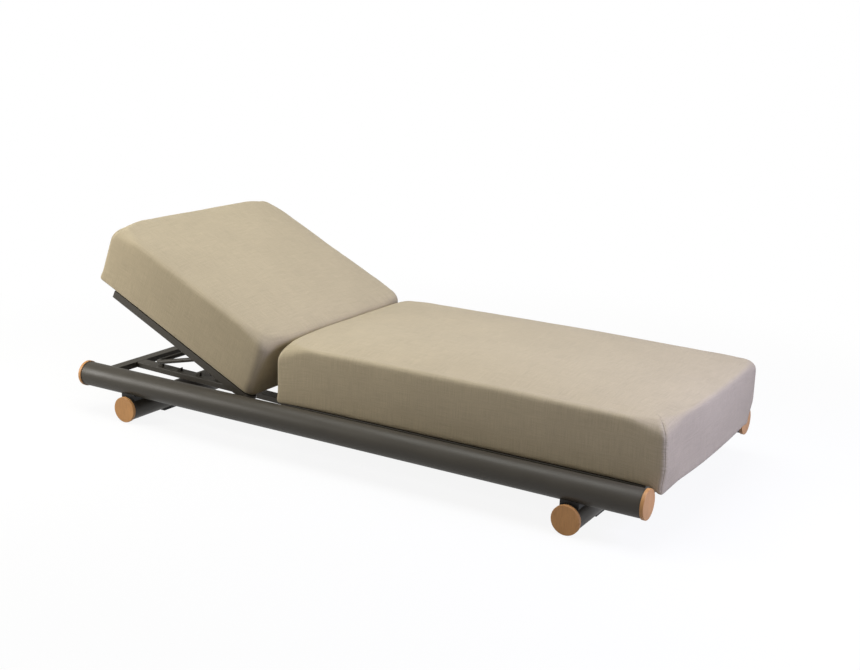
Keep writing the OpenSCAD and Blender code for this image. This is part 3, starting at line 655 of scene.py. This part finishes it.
def weave_group():
    """Plain weave on a flat pattern in metres.

    With u and v counted in threads, warp is |sin(pi u)| and weft |sin(pi v)|, and which one lies on
    top goes by 1/2 + cos(pi u) cos(pi v) / 2. Slubs are noise drawn out along each thread
    direction.
    """
    found = bpy.data.node_groups.get("Plain weave")
    if found:
        return found
    group, source, sink = node_group(
        "Plain weave",
        [("Pattern", "NodeSocketVector", None), ("Thread", "NodeSocketFloat", 0.0013)],
        [("Height", "NodeSocketFloat"), ("Gaps", "NodeSocketFloat"), ("Slubs", "NodeSocketFloat"),
         ("Drift", "NodeSocketFloat")])
    w = Wiring(group)
    pattern = source.outputs["Pattern"]
    per_thread = w.math("DIVIDE", math.pi, source.outputs["Thread"])
    wander = w.noise(w.scaled(pattern, (18.0, 18.0, 0.0)), 1.0)
    split = w.add("ShaderNodeSeparateXYZ", {0: pattern})
    u = w.math("MULTIPLY", w.math("MULTIPLY_ADD", wander, 0.0012, split.outputs[0]), per_thread)
    v = w.math("MULTIPLY", w.math("MULTIPLY_ADD", wander, 0.0012, split.outputs[1]), per_thread)
    warp = w.math("ABSOLUTE", w.math("SINE", u))
    weft = w.math("ABSOLUTE", w.math("SINE", v))
    both = w.math("MULTIPLY", w.math("COSINE", u), w.math("COSINE", v))
    over = w.math("MULTIPLY_ADD", both, 0.5, 0.5)
    height = w.math("ADD", w.math("MULTIPLY", warp, over),
                    w.math("MULTIPLY", weft, w.math("SUBTRACT", 1.0, over)))
    along_u = w.noise(w.scaled(pattern, (14.0, 420.0, 0.0)), 1.0, 3.0, 0.6)
    along_v = w.noise(w.scaled(pattern, (420.0, 14.0, 0.0)), 1.0, 3.0, 0.6)
    w.tree.links.new(height, sink.inputs["Height"])
    # Gaps: where the threads sink, used later to paint shade into the cover's colour.
    w.tree.links.new(w.spread(height, 0.62, 0.15), sink.inputs["Gaps"])
    w.tree.links.new(w.math("MULTIPLY", w.math("ADD", along_u, along_v), 0.5), sink.inputs["Slubs"])
    w.tree.links.new(w.noise(w.scaled(pattern, (5.0, 5.0, 0.0)), 1.0, 4.0), sink.inputs["Drift"])
    return group


def coat_group():
    """Fine skin of powder coat and of moulded plastic: pores, a soft orange peel and a slow drift
    of tone, from noise on object coordinates in metres."""
    found = bpy.data.node_groups.get("Fine skin")
    if found:
        return found
    group, source, sink = node_group(
        "Fine skin", [("Grain", "NodeSocketFloat", 1400.0)],
        [("Height", "NodeSocketFloat"), ("Drift", "NodeSocketFloat"), ("Dust", "NodeSocketFloat")])
    w = Wiring(group)
    place = w.add("ShaderNodeTexCoord").outputs["Object"]
    fine = w.noise(place, source.outputs["Grain"], 2.0)
    peel = w.noise(place, w.math("MULTIPLY", source.outputs["Grain"], 0.2), 1.0)
    w.tree.links.new(w.math("MULTIPLY_ADD", peel, 0.8, fine), sink.inputs["Height"])
    w.tree.links.new(w.noise(place, 6.0, 4.0), sink.inputs["Drift"])
    w.tree.links.new(w.spread(w.noise(place, 60.0, 6.0, 0.7), 0.55, 0.8), sink.inputs["Dust"])
    return group


def new_material(name):
    """A new material, short ways to wire it, and its Principled shader."""
    material = bpy.data.materials.new(name)
    material.use_nodes = True
    w = Wiring(material.node_tree)
    return material, w, material.node_tree.nodes["Principled BSDF"]


def cloth_material():
    """Woven cover: threads with painted shade in their gaps, slubs along both thread directions,
    and along each seam a sunken line with small puckers and painted shade that grows with height."""
    found = bpy.data.materials.get("woven_cover")
    if found:
        return found
    finish = bpy.context.scene.lounger_finishes
    material, w, shader = new_material("woven_cover")
    pattern = w.add("ShaderNodeUVMap", uv_map="pattern").outputs[0]
    weave = w.add("ShaderNodeGroup")
    weave.node_tree = weave_group()
    w.put(pattern, weave.inputs["Pattern"])
    weave.inputs["Thread"].default_value = finish.thread
    seam = w.add("ShaderNodeAttribute", attribute_name="seam")
    part = w.add("ShaderNodeSeparateXYZ", {0: seam.outputs["Vector"]})
    across = w.math("ABSOLUTE", part.outputs[0])
    lower = w.math("ABSOLUTE", part.outputs[1])
    nearest = w.math("MINIMUM", across, lower)
    line = w.spread(nearest, 0.0016, 0.0002)
    flap = w.spread(nearest, 0.016, 0.002)
    ripple = w.noise(w.scaled(seam.outputs["Vector"], (28.0, 28.0, 160.0)), 1.0, 2.0)
    pucker = w.math("MULTIPLY", w.math("SUBTRACT", ripple, 0.5), flap)
    # Painted shade: the gaps between the threads take the darker gap colour.
    tone = w.mix(weave.outputs["Gaps"], rgba(finish.cloth), rgba(finish.cloth_gap_shade))
    slub = w.spread(weave.outputs["Slubs"], 0.35, 0.65, 0.90, 1.08)
    drift = w.spread(weave.outputs["Drift"], 0.3, 0.7, 0.975, 1.025)
    shade = w.math("MULTIPLY", slub, drift)
    # Painted shade in the seam creases: darker along each seam, from 0.06 low down to 0.24 higher up.
    dark = w.math("MULTIPLY", line, w.spread(part.outputs[2], 0.02, 0.16, 0.06, 0.24))
    shade = w.math("MULTIPLY", shade, w.math("SUBTRACT", 1.0, dark))
    tinted = w.shaded(tone, shade)
    w.put(tinted, shader.inputs["Base Color"])
    w.put(w.spread(weave.outputs["Slubs"], 0.3, 0.7, 0.86, 0.95), shader.inputs["Roughness"])
    shader.inputs["Sheen Weight"].default_value = 0.12
    shader.inputs["Sheen Roughness"].default_value = 0.5
    shader.inputs["Specular IOR Level"].default_value = 0.25
    relief = w.math("MULTIPLY_ADD", weave.outputs["Slubs"], 0.35, weave.outputs["Height"])
    fine = w.add("ShaderNodeBump", {"Height": relief, "Strength": 0.35, "Distance": 0.0004})
    seams = w.math("MULTIPLY_ADD", line, -0.35, pucker)
    coarse = w.add("ShaderNodeBump", {"Height": seams, "Strength": 0.8, "Distance": 0.004,
                                      "Normal": fine.outputs[0]})
    w.put(coarse.outputs[0], shader.inputs["Normal"])
    return material


def skin_material(name, colour, roughness, grain, depth, metallic=0.0, edge=0.0012, dust=0.0):
    """Coated metal, moulded plastic or plain steel: fine skin, slow drift of tone, rounded edges.
    """
    material, w, shader = new_material(name)
    skin = w.add("ShaderNodeGroup")
    skin.node_tree = coat_group()
    skin.inputs["Grain"].default_value = grain
    shade = w.spread(skin.outputs["Drift"], 0.3, 0.7, 0.94, 1.06)
    tinted = w.shaded(colour, shade)
    if dust:
        tinted = w.mix(w.math("MULTIPLY", skin.outputs["Dust"], dust), tinted,
                       rgba([0.5 * part + 0.14 for part in colour]))
    w.put(tinted, shader.inputs["Base Color"])
    w.put(w.spread(skin.outputs["Drift"], 0.3, 0.7, roughness - 0.04, roughness + 0.05),
          shader.inputs["Roughness"])
    shader.inputs["Metallic"].default_value = metallic
    shader.inputs["Specular IOR Level"].default_value = 0.38
    rounded = w.add("ShaderNodeBevel", samples=6)
    rounded.inputs["Radius"].default_value = edge
    bump = w.add("ShaderNodeBump", {"Height": skin.outputs["Height"], "Strength": 0.3,
                                    "Distance": depth, "Normal": rounded.outputs[0]})
    w.put(bump.outputs[0], shader.inputs["Normal"])
    return material


def wood_material():
    """Oiled hardwood: growth bands and fibres that run up the discs, from object coordinates."""
    finish = bpy.context.scene.lounger_finishes
    material, w, shader = new_material("oiled_wood")
    place = w.add("ShaderNodeTexCoord").outputs["Object"]
    tilted = w.add("ShaderNodeVectorRotate", {"Vector": place, "Angle": 0.12},
                   rotation_type="X_AXIS")
    bend = w.noise(w.scaled(tilted.outputs[0], (9.0, 9.0, 5.0)), 1.0, 2.0)
    split = w.add("ShaderNodeSeparateXYZ", {0: tilted.outputs[0]})
    flat = w.math("ADD", split.outputs[0], split.outputs[1])
    ring = w.math("MULTIPLY_ADD", bend, 0.02, flat)
    bands = w.math("SINE", w.math("MULTIPLY", ring, 1700.0))
    soft = w.noise(w.scaled(tilted.outputs[0], (220.0, 220.0, 14.0)), 1.0, 3.0)
    fibre = w.noise(w.scaled(tilted.outputs[0], (1500.0, 1500.0, 60.0)), 1.0, 3.0, 0.6)
    grain = w.math("MULTIPLY_ADD", bands, 0.08, w.math("MULTIPLY", soft, 0.9), clamp=True)
    grain = w.math("MULTIPLY_ADD", w.math("SUBTRACT", fibre, 0.5), 0.5, grain, clamp=True)
    drift = w.spread(w.noise(place, 7.0), 0.35, 0.65, 0.92, 1.08)
    tone = w.mix(w.spread(grain, 0.25, 0.95), rgba(finish.wood), rgba(finish.wood_grain))
    w.put(w.shaded(tone, drift), shader.inputs["Base Color"])
    w.put(w.spread(fibre, 0.3, 0.7, 0.42, 0.58), shader.inputs["Roughness"])
    rounded = w.add("ShaderNodeBevel", samples=6)
    rounded.inputs["Radius"].default_value = 0.0012
    bump = w.add("ShaderNodeBump", {"Height": fibre, "Strength": 0.25, "Distance": 0.0004,
                                    "Normal": rounded.outputs[0]})
    w.put(bump.outputs[0], shader.inputs["Normal"])
    return material


def coat_material():
    """The powder coat of the frame, made once."""
    finish = bpy.context.scene.lounger_finishes
    return bpy.data.materials.get("powder_coated_metal") or skin_material(
        "powder_coated_metal", finish.coat, 0.46, 1500.0, 0.0003, dust=0.05)


# ---- Operators


class LOUNGER_OT_finishes(bpy.types.Operator):
    """Give every carried-over part its finish"""
    bl_idname = "lounger.finishes"
    bl_label = "Finish the frame"

    def execute(self, context):
        finish = context.scene.lounger_finishes
        made = {
            "powder_coat": coat_material(),
            "wood": wood_material(),
            "black_plastic": skin_material("moulded_plastic", finish.plastic, 0.55, 900.0, 0.0003),
            "steel": skin_material("plain_steel", finish.steel, 0.32, 700.0, 0.0001, metallic=1.0,
                                   edge=0.0005),
            "fabric": cloth_material(),
        }
        slots = {part["node"]: part["material_slot"] for part in frame["record"]["subparts"]}
        for name, node in frame["nodes"].items():
            node.data.materials.clear()
            node.data.materials.append(made[slots[name]])
        return {"FINISHED"}


class LOUNGER_OT_seat_cushion(bpy.types.Operator):
    """Build the seat cushion in its woven cover"""
    bl_idname = "lounger.seat_cushion"
    bl_label = "Seat cushion"

    def execute(self, context):
        sizes = context.scene.lounger_cushions
        low, high = (np.array(corner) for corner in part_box("seat_cushion"))
        half = (high - low) / 2 - [SEAT_TRIM[0], SEAT_TRIM[1], 0]
        middle = (high + low) / 2
        height = high[2] - low[2] - SEAT_TRIM[2]
        surface = cushion_surface(half[0], half[1], height, sizes.seat_crown, sizes.seat_edge,
                                  (sizes.corner_round, sizes.corner_round), sizes, -1)
        puff = cloth_puff(surface[0], surface[1], sizes)
        offset = np.array([middle[0], middle[1], low[2]])

        def settle(points):
            """Lets the free corners at the foot end hang, down by droop * near the end * near the
            side * near the underside and drawn in by a share of that, and the long sides by hem.
            The foot end bows out by bow * (1 - (y / half width)^2) and is drawn back on the near
            side, and the top falls a few millimetres towards the foot and the near side."""
            out = points.copy()
            level = points[:, 2] / height
            aside = np.abs(points[:, 1])
            at_near = smooth_step(-points[:, 1], NEAR_START, half[1])
            share = smooth_step(points[:, 0], half[0] - DROOP_FROM_END, half[0])
            share = share * smooth_step(aside, *(half[1] - np.array(DROOP_FROM_SIDE)))
            share = share * (1 - smooth_step(level, 0.0, DROOP_LEVEL))
            hem = smooth_step(aside, *(half[1] - np.array(HEM_EDGE)))
            hem = hem * (1 - smooth_step(level, 0.0, HEM_LEVEL)) * (1 - share)
            out[:, 2] -= sizes.droop * share + sizes.hem * hem
            out[:, 0] -= DROOP_PULL[0] * sizes.droop * share
            out[:, 1] -= np.sign(points[:, 1]) * DROOP_PULL[1] * sizes.droop * share
            out[:, 2] += level * (TOP_RISE - FOOT_FALL * smooth_step(points[:, 0], 0.0, half[0]))
            out[:, 2] -= NEAR_FALL * level * at_near
            bowed = smooth_step(points[:, 0], half[0] - BOW_REACH, half[0])
            out[:, 0] += bowed * (sizes.foot_bow * (1 - (points[:, 1] / half[1]) ** 2) - BOW_TRIM)
            out[:, 0] -= NEAR_PULL * bowed * (0.3 + 0.7 * level) * at_near
            return out

        cushion_object("seat_cushion_cover", surface, puff, lambda p: p + offset, "base",
                       "seat_cushion", settle)
        return {"FINISHED"}


class LOUNGER_OT_back_cushion(bpy.types.Operator):
    """Build the backrest cushion in its woven cover"""
    bl_idname = "lounger.back_cushion"
    bl_label = "Backrest cushion"

    def execute(self, context):
        sizes = context.scene.lounger_cushions
        half_x, half_y = BACK_HALF
        surface = cushion_surface(half_x, half_y, sizes.back_thickness, sizes.back_crown,
                                  sizes.back_edge, (sizes.corner_round, sizes.soft_corner),
                                  sizes, 1)
        surface[-1][surface[0][:, 0] > 0, 0] = 1.0
        puff = cloth_puff(surface[0], surface[1], sizes)
        turn = np.array(Matrix.Rotation(REST_ANGLE, 3, "Y"))
        offset = np.array([BACK_ORIGIN[0] - half_x, 0, BACK_ORIGIN[1]])

        def lip(points):
            """Leans the lower end's upper edge out over the seat, by lip * near * height^2 towards
            the seat, and spreads the sides with height, by spread * height. The near side sinks,
            but not at the head end, and the far side spreads more towards the head."""
            near = smooth_step(points[:, 0], half_x - LIP_REACH, half_x)
            level = np.clip(points[:, 2] / sizes.back_thickness, 0, 1)
            middle = 1 - smooth_step(np.abs(points[:, 1]), *(half_y - np.array(LIP_MIDDLE)))
            out = points.copy()
            out[:, 0] += sizes.back_lip * near * level ** 2 * middle
            out[:, 1] *= 1 + sizes.back_spread / half_y * level
            out[:, 2] -= NEAR_SAG * level * smooth_step(
                -points[:, 1], NEAR_START, half_y) * smooth_step(
                points[:, 0], -half_x, NEAR_SAG_REACH - half_x)
            out[:, 1] += FAR_SPREAD * level * smooth_step(points[:, 1], 0, half_y) * smooth_step(
                -points[:, 0], -half_x, half_x)
            return out

        def place(points):
            return (points + offset) @ turn.T + HINGE

        cover = cushion_object("back_cushion_cover", surface, puff, place, "loose_back_cushion",
                               "back_cushion", lip)
        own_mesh(cover)
        return {"FINISHED"}


class LOUNGER_OT_stay(bpy.types.Operator):
    """Bend the stay from one tube, with an eye at each end"""
    bl_idname = "lounger.stay"
    bl_label = "Stay"

    def execute(self, context):
        low, high = (np.array(corner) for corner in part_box("stay_rod"))
        radius = (high[2] - low[2]) / 2
        rod = (high + low) / 2
        reach = high[1] - radius
        bend = context.scene.lounger_frame.bend_radius
        toward = np.array([rod[0] - PIVOT[0], 0, rod[2] - PIVOT[2]])
        length = np.linalg.norm(toward)
        toward /= length
        angle = np.linspace(0, math.pi / 2, 13)
        straight = np.linspace(0, length - bend, 12)
        run = np.concatenate([straight, length - bend + bend * np.sin(angle[1:])])
        out = np.concatenate([np.full(12, reach), reach - bend * (1 - np.cos(angle[1:]))])
        near = PIVOT + run[:, None] * toward - out[:, None] * np.array([0, 1, 0])
        far = near * [1, -1, 1]
        path = np.concatenate([near, far[::-1]])
        tube = tube_along(path, radius, 24, False)
        eyes = [ring_about_y(PIVOT + [0, side * reach, 0], **EYE) for side in (-1, 1)]
        metal_object("stay_tube", [tube, *eyes], "stay",
                     ("stay_arm_near", "stay_arm_far", "stay_rod"), smooth=True)
        return {"FINISHED"}


class LOUNGER_OT_deck(bpy.types.Operator):
    """Build the bars, rails and slats of the deck and the rack, with their welds"""
    bl_idname = "lounger.deck"
    bl_label = "Deck and rack"

    def execute(self, context):
        sizes = context.scene.lounger_frame
        bars = ("head_bar", "mid_bar", "seat_bar_head", "seat_bar_foot", "foot_bar")
        rails = ("seat_rail_near", "seat_rail_far")
        slats = [name for name in frame["nodes"] if name.startswith("seat_slat_")]
        limits = {name: node_limits(name) for name in (*bars, *rails, *slats)}
        for piece, names, axis, radius in (("deck_bars", bars, 1, sizes.bar_round),
                                           ("deck_rails", rails, 0, sizes.bar_round),
                                           ("deck_slats", slats, 1, sizes.slat_round)):
            metal_object(piece, [rounded_bar(*limits[name], axis, radius) for name in names],
                         "base", names)

        racks = []
        for name in ("rack_rail_near", "rack_rail_far"):
            low, high = node_limits(name)
            start = node_limits(name, lambda points: points[points[:, 0] < low[0] + 1e-6])
            end = node_limits(name, lambda points: points[points[:, 0] > high[0] - 1e-6])
            slope = (end[1][2] - start[1][2]) / (high[0] - low[0])
            middle = (start[0][2] + start[1][2] + end[0][2] + end[1][2]) / 4
            half = (start[1][2] - start[0][2]) / 2
            racks.append(rounded_bar(np.array([low[0], low[1], middle - half]),
                                     np.array([high[0], high[1], middle + half]), 0,
                                     sizes.bar_round, slope))
        metal_object("rack_rails", racks, "base", ("rack_rail_near", "rack_rail_far"))

        low, high = node_limits("side_tube_far")
        tube_y, tube_z = (low[1] + high[1]) / 2, (low[2] + high[2]) / 2
        tube_radius = (high[2] - low[2]) / 2

        def tube_wall(z):
            """The side tube's inner face: y = centre - sqrt(radius^2 - (z - centre)^2)."""
            return tube_y - np.sqrt(tube_radius ** 2 - (z - tube_z) ** 2)

        beads = [end_bead(*limits[name], sizes.bar_round, sizes.bead, lambda z: side * tube_wall(z))
                 for name, side in product(bars, (-1, 1))]
        for bar, rail in product(bars[1:], rails):
            (low, high), (rail_low, rail_high) = limits[bar], limits[rail]
            start = max(low[0], rail_low[0]) + RAIL_WELD_TRIM
            end = min(high[0], rail_high[0]) - RAIL_WELD_TRIM
            for y in (rail_low[1], rail_high[1]):
                run = np.linspace(start, end, 9)
                beads.append(tube_along(np.column_stack([run, np.full(9, y), np.full(9, high[2])]),
                                        sizes.bead, 8, False))
        metal_object("deck_welds", beads, "base", smooth=True)
        return {"FINISHED"}


class LOUNGER_OT_back_frame(bpy.types.Operator):
    """Build the cross rails and slats of the backrest, with weld beads on their upper edges only"""
    bl_idname = "lounger.back_frame"
    bl_label = "Backrest frame"

    def execute(self, context):
        sizes = context.scene.lounger_frame
        turn = np.array(Matrix.Rotation(REST_ANGLE, 3, "Y"))
        bars = ("back_foot_rail", "back_lift_bar", "back_head_rail")
        slats = [name for name in frame["nodes"] if name.startswith("back_slat_")]
        limits = {name: node_limits(name, lambda points: (points - HINGE) @ turn)
                  for name in (*bars, *slats)}

        def place(points):
            return points @ turn.T + HINGE

        beads = []
        for piece, names, radius in (("back_bars", bars, sizes.bar_round),
                                     ("back_slats", slats, sizes.slat_round)):
            metal_object(piece, [rounded_bar(*limits[name], 1, radius) for name in names],
                         "backrest", names, place=place)
            for name, side in product(names, (-1, 1)):
                low, high = limits[name]
                beads.append(end_bead(low, high, radius, BACK_BEAD * sizes.bead,
                                      lambda z: np.full(len(z), side * high[1]), all_round=False))
        metal_object("back_welds", beads, "backrest", smooth=True, place=place)
        return {"FINISHED"}


class LOUNGER_OT_stage(bpy.types.Operator):
    """Set up the floor, the lamps, the surround and the camera"""
    bl_idname = "lounger.stage"
    bl_label = "Stage"

    def lamp(self, name, place, target, size, power, colour):
        """Adds a rectangular lamp that faces its target."""
        data = bpy.data.lights.new(name, "AREA")
        data.shape = "RECTANGLE"
        data.size, data.size_y = size
        data.energy, data.color = power, colour
        lamp = bpy.data.objects.new(name, data)
        lamp.location = place
        lamp.rotation_euler = (Vector(target) - Vector(place)).to_track_quat("-Z", "Y").to_euler()
        bpy.context.scene.collection.objects.link(lamp)

    def execute(self, context):
        studio = context.scene.lounger_studio
        half = studio.floor_size / 2
        mesh = bpy.data.meshes.new("floor")
        corners = [(-half, -half, 0), (half, -half, 0), (half, half, 0), (-half, half, 0)]
        mesh.from_pydata(corners, [], [(0, 1, 2, 3)])
        floor = bpy.data.objects.new("floor", mesh)
        context.scene.collection.objects.link(floor)
        material, w, shader = new_material("pale_floor")
        shader.inputs["Roughness"].default_value = 0.7
        path = w.add("ShaderNodeLightPath")
        glossy = w.math("MULTIPLY", path.outputs["Is Glossy Ray"], FLOOR_GLOSS)
        shown = w.math("MAXIMUM", path.outputs["Is Camera Ray"], glossy)
        ground = w.mix(path.outputs["Is Camera Ray"], rgba([FLOOR_SHADE] * 3),
                       rgba([FLOOR_SHOWN] * 3))
        w.put(ground, shader.inputs["Base Color"])
        white = w.add("ShaderNodeEmission", {"Strength": 1.0})
        reach = w.add("ShaderNodeVectorMath", {0: w.add("ShaderNodeTexCoord").outputs["Object"]},
                      operation="LENGTH").outputs["Value"]
        bare = w.spread(reach, *FLOOR_BARE, *FLOOR_BARE_SHARE)
        blend = w.add("ShaderNodeMixShader", {
            0: w.math("MULTIPLY", shown, bare),
            1: shader.outputs[0], 2: white.outputs[0]})
        w.put(blend.outputs[0], w.tree.nodes["Material Output"].inputs["Surface"])
        mesh.materials.append(material)

        world = context.scene.world or bpy.data.worlds.new("Surround")
        context.scene.world = world
        world.use_nodes = True
        w = Wiring(world.node_tree)
        path = w.add("ShaderNodeLightPath")
        clear = w.math("MAXIMUM", path.outputs["Is Camera Ray"],
                       path.outputs["Is Transmission Ray"])
        glossy = w.math("MULTIPLY", path.outputs["Is Glossy Ray"], SKY_GLOSS)
        shown = w.math("MAXIMUM", clear, glossy)
        strength = w.math("MAXIMUM", shown, studio.sky)
        background = world.node_tree.nodes["Background"]
        w.put(w.mix(shown, rgba(SKY_TINT), rgba((1.0, 1.0, 1.0))), background.inputs["Color"])
        w.put(strength, background.inputs["Strength"])

        for name, place, target, size, colour in LAMPS:
            self.lamp(name + "_lamp", place, target, size, getattr(studio, name + "_light"), colour)

        turn, rise, roll = studio.azimuth, studio.elevation, studio.roll
        back = Vector((math.sin(turn) * math.cos(rise), -math.cos(turn) * math.cos(rise),
                       math.sin(rise)))
        right = Vector((math.cos(turn), math.sin(turn), 0))
        up = back.cross(right)
        side = right * math.cos(roll) + up * math.sin(roll)
        upright = up * math.cos(roll) - right * math.sin(roll)
        data = bpy.data.cameras.new("camera")
        data.sensor_fit = "HORIZONTAL"
        data.sensor_width = 36.0
        data.lens = studio.lens
        camera = bpy.data.objects.new("camera", data)
        camera.matrix_world = Matrix.Translation(CAMERA_PLACE) @ Matrix(
            (side, upright, back)).transposed().to_4x4()
        context.scene.collection.objects.link(camera)
        context.scene.camera = camera
        context.scene.view_settings.view_transform = "Standard"
        return {"FINISHED"}


class LOUNGER_PT_panel(bpy.types.Panel):
    bl_idname = "LOUNGER_PT_panel"
    bl_label = "Lounger"
    bl_space_type = "VIEW_3D"
    bl_region_type = "UI"
    bl_category = "Lounger"

    def draw(self, context):
        for operator in OPERATORS:
            self.layout.operator(operator.bl_idname)
        for holder in PROPERTIES:
            group = getattr(context.scene, holder)
            for key in group.bl_rna.properties.keys():
                if key not in ("rna_type", "name"):
                    self.layout.prop(group, key)


OPERATORS = (LOUNGER_OT_stage, LOUNGER_OT_finishes, LOUNGER_OT_seat_cushion,
             LOUNGER_OT_back_cushion, LOUNGER_OT_stay, LOUNGER_OT_deck, LOUNGER_OT_back_frame)
PROPERTIES = {
    "lounger_cushions": LoungerCushions,
    "lounger_finishes": LoungerFinishes,
    "lounger_frame": LoungerFrame,
    "lounger_studio": LoungerStudio,
}


def register():
    for cls in (*PROPERTIES.values(), *OPERATORS, LOUNGER_PT_panel):
        bpy.utils.register_class(cls)
    for holder, cls in PROPERTIES.items():
        setattr(bpy.types.Scene, holder, PointerProperty(type=cls))


def unregister():
    for holder in PROPERTIES:
        delattr(bpy.types.Scene, holder)
    for cls in reversed((*PROPERTIES.values(), *OPERATORS, LOUNGER_PT_panel)):
        bpy.utils.unregister_class(cls)


def main():
    """Builds everything in order."""
    register()
    for operator in OPERATORS:
        category, name = operator.bl_idname.split(".")
        getattr(getattr(bpy.ops, category), name)()


if __name__ == "__main__":
    main()
